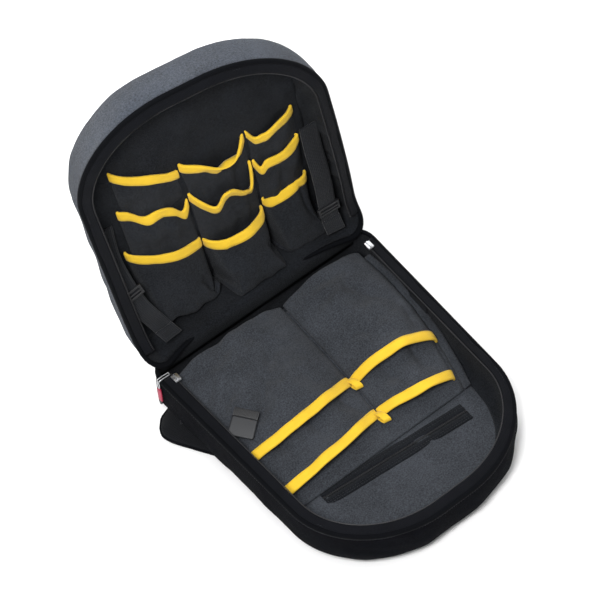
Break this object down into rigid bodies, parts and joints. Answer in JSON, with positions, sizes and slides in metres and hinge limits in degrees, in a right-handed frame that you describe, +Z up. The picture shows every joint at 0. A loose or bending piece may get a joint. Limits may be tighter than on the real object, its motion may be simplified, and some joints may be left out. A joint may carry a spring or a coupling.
{
  "type": "tool backpack",
  "caption": "Soft tool backpack lying open on its back, with a padded tray, a standing lid and bound tool pockets.",
  "frame": {"origin": "middle of the open bag's bounding box, on the surface that it lies on", "axes": "+Z up, the hinge runs along X, the tray reaches towards -Y and the lid stands at +Y"},
  "size_m": [0.3902, 0.5164, 0.4649],
  "materials": {
    "shell_fabric": "heavy plain-woven polyester, dark charcoal, faint sheen",
    "pocket_fabric": "plain-woven polyester, near black, soft",
    "pad_fabric": "padded knitted mesh, black",
    "binding_tape": "woven grosgrain binding tape, yellow",
    "zip_tape": "ribbed zip tape, black",
    "zip_teeth": "nylon coil, black",
    "webbing": "ribbed polyester webbing, black",
    "buckle_plastic": "moulded acetal, black, fine texture",
    "tongue_plastic": "moulded acetal, dark grey, fine texture",
    "slider_metal": "plated zinc, bright, lightly worn",
    "pull_rubber": "moulded rubber, crimson, black tip"
  },
  "bodies": {
    "root": {"tray_shell": "shell_fabric", "lid_shell": "shell_fabric", "hinge_panel": "shell_fabric", "tray_zip_tape": "zip_tape", "lid_zip_tape": "zip_tape", "floor_zip_tape": "zip_tape", "tray_zip_teeth": "zip_teeth", "lid_zip_teeth": "zip_teeth", "floor_zip_teeth": "zip_teeth", "pocket_board": "pocket_fabric", "board_edge": "pocket_fabric", "pull_link": "slider_metal", "pull_bridge": "slider_metal", "pull_tab": "pull_rubber", "back_pad_lumbar": "pad_fabric", "back_pad_upper": "pad_fabric", "strap_yoke": "webbing", "shoulder_strap_left": "pad_fabric", "strap_web_left": "webbing", "lid_strap_left": "webbing", "lid_lock_left": "buckle_plastic", "tray_lock_left": "buckle_plastic", "tray_tongue_left": "tongue_plastic", "slider_left": "slider_metal", "tray_pocket_lower_left": "pocket_fabric", "tray_binding_lower_left": "binding_tape", "tray_pocket_upper_left": "pocket_fabric", "tray_binding_upper_left": "binding_tape", "shoulder_strap_right": "pad_fabric", "strap_web_right": "webbing", "lid_strap_right": "webbing", "lid_lock_right": "buckle_plastic", "tray_lock_right": "buckle_plastic", "tray_tongue_right": "tongue_plastic", "slider_right": "slider_metal", "tray_pocket_lower_right": "pocket_fabric", "tray_binding_lower_right": "binding_tape", "tray_pocket_upper_right": "pocket_fabric", "tray_binding_upper_right": "binding_tape", "lid_pocket_1_1": "pocket_fabric", "lid_binding_1_1": "binding_tape", "lid_pocket_1_2": "pocket_fabric", "lid_binding_1_2": "binding_tape", "lid_pocket_1_3": "pocket_fabric", "lid_binding_1_3": "binding_tape", "lid_pocket_2_1": "pocket_fabric", "lid_binding_2_1": "binding_tape", "lid_pocket_2_2": "pocket_fabric", "lid_binding_2_2": "binding_tape", "lid_pocket_2_3": "pocket_fabric", "lid_binding_2_3": "binding_tape", "lid_pocket_3_1": "pocket_fabric", "lid_binding_3_1": "binding_tape", "lid_pocket_3_2": "pocket_fabric", "lid_binding_3_2": "binding_tape", "lid_pocket_3_3": "pocket_fabric", "lid_binding_3_3": "binding_tape"}
  },
  "joints": []
}
